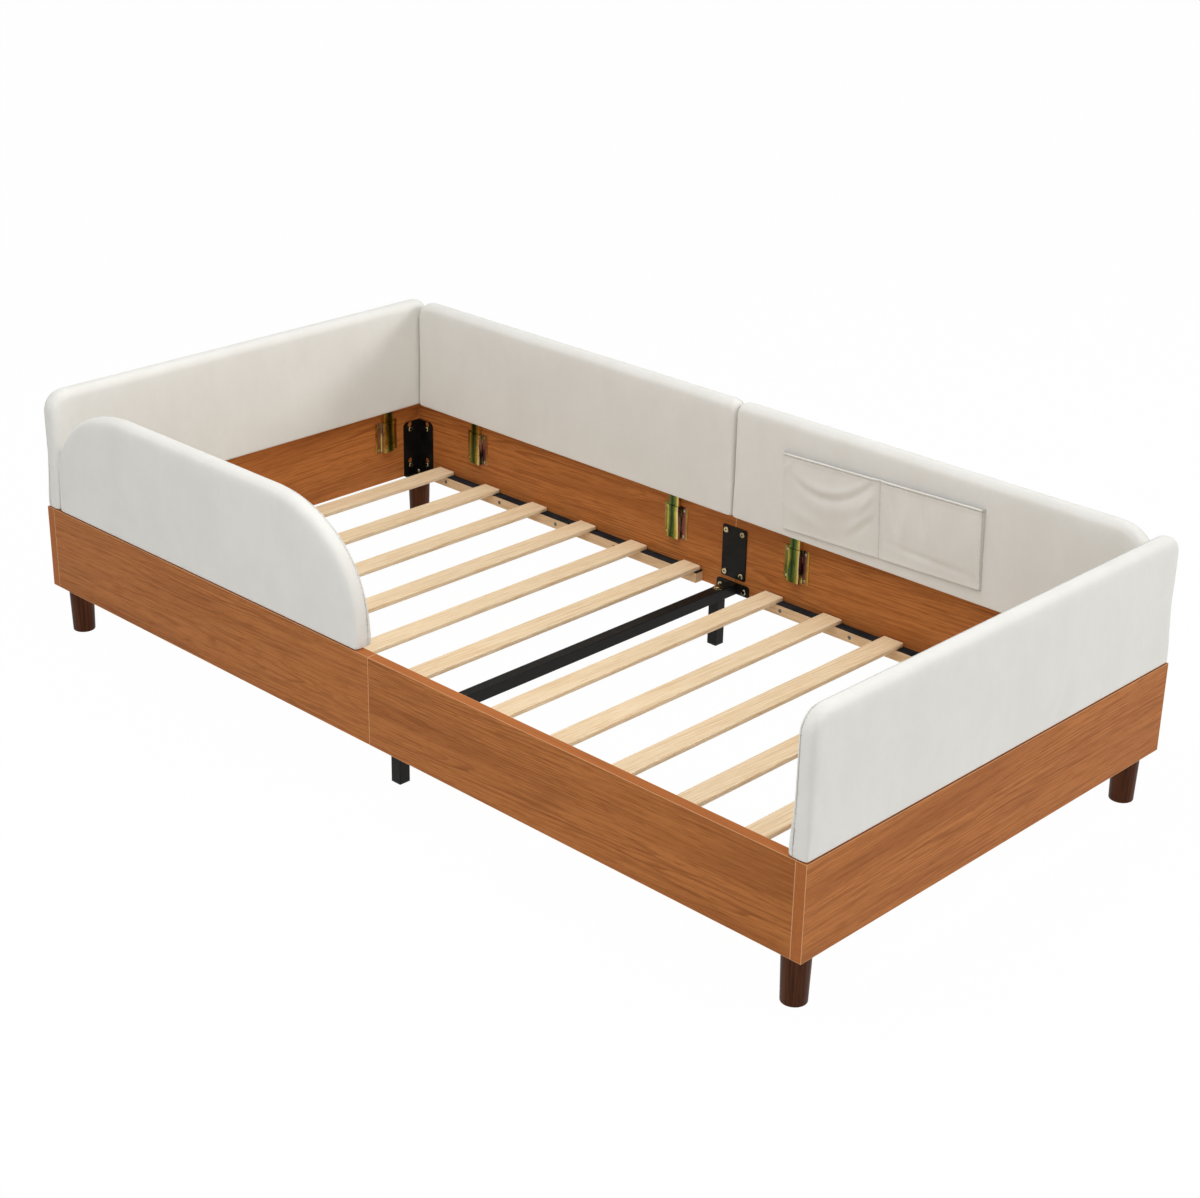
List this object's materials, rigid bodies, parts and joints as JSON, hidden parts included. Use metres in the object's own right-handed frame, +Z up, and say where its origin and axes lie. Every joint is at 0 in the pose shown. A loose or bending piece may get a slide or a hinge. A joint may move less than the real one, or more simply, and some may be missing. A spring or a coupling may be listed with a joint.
{
  "type": "upholstered low daybed",
  "caption": "Low twin daybed: wood-grain board frame on round legs, slats, padded lift-off back and end panels, a curved front guard and a fabric side pocket.",
  "frame": {"origin": "on the floor, under the middle of the bed", "axes": "+X along the bed from the head end to the foot end, +Y from the open front side to the padded back side, +Z up"},
  "size_m": [2.05, 1.04, 0.534],
  "materials": {
    "laminated_board": "orange-brown wood-grain laminate, satin",
    "pine": "bare planed pine",
    "walnut_stain": "dark walnut stain, satin lacquer",
    "black_steel": "black powder coat",
    "zinc": "bright zinc plate",
    "yellow_zinc": "yellow passivated zinc with iridescent tints",
    "velvet": "off-white short-pile velvet",
    "plywood": "raw plywood",
    "grip_strip": "black felt tape",
    "black_plastic": "moulded plastic"
  },
  "bodies": {
    "bed_frame": {"back_rail_left": "laminated_board", "back_rail_right": "laminated_board", "beam_flanges": "black_steel", "centre_beam": "black_steel", "centre_leg_back": "black_steel", "centre_leg_bolts": "zinc", "centre_leg_caps": "black_plastic", "centre_leg_front": "black_steel", "corner_bracket_back_left": "black_steel", "corner_bracket_back_right": "black_steel", "corner_bracket_front_left": "black_steel", "corner_bracket_front_right": "black_steel", "foot_board": "laminated_board", "frame_bolts": "zinc", "front_rail_left": "laminated_board", "front_rail_right": "laminated_board", "grip_strips": "grip_strip", "hanger_sockets": "yellow_zinc", "head_board": "laminated_board", "joint_plate_back": "black_steel", "joint_plate_front": "black_steel", "ledger_back_left": "pine", "ledger_back_right": "pine", "ledger_front_left": "pine", "ledger_front_right": "pine", "ledger_screws": "zinc", "leg_back_left": "walnut_stain", "leg_back_right": "walnut_stain", "leg_front_left": "walnut_stain", "leg_front_right": "walnut_stain", "leg_studs": "zinc", "slat_01": "pine", "slat_02": "pine", "slat_03": "pine", "slat_04": "pine", "slat_05": "pine", "slat_06": "pine", "slat_07": "pine", "slat_08": "pine", "slat_09": "pine", "slat_10": "pine", "slat_11": "pine", "slat_12": "pine", "socket_screws": "zinc"},
    "head_panel": {"head_panel_core": "plywood", "head_panel_pad": "velvet", "head_panel_hooks": "yellow_zinc"},
    "foot_panel": {"foot_panel_core": "plywood", "foot_panel_pad": "velvet", "foot_panel_hooks": "yellow_zinc"},
    "back_panel_left": {"back_panel_left_core": "plywood", "back_panel_left_pad": "velvet", "back_panel_left_hooks": "yellow_zinc"},
    "back_panel_right": {"back_panel_right_core": "plywood", "back_panel_right_pad": "velvet", "back_panel_right_hooks": "yellow_zinc", "storage_pocket": "velvet"},
    "front_guard": {"front_guard_core": "plywood", "front_guard_pad": "velvet", "front_guard_hooks": "yellow_zinc"}
  },
  "joints": [
    {"name": "head_panel_lift", "type": "slide", "parent": "bed_frame", "child": "head_panel", "axis": [0, 0, 1], "range_m": [0, 0.075]},
    {"name": "foot_panel_lift", "type": "slide", "parent": "bed_frame", "child": "foot_panel", "axis": [0, 0, 1], "range_m": [0, 0.075]},
    {"name": "back_panel_left_lift", "type": "slide", "parent": "bed_frame", "child": "back_panel_left", "axis": [0, 0, 1], "range_m": [0, 0.075]},
    {"name": "back_panel_right_lift", "type": "slide", "parent": "bed_frame", "child": "back_panel_right", "axis": [0, 0, 1], "range_m": [0, 0.075]},
    {"name": "front_guard_lift", "type": "slide", "parent": "bed_frame", "child": "front_guard", "axis": [0, 0, 1], "range_m": [0, 0.075]}
  ]
}
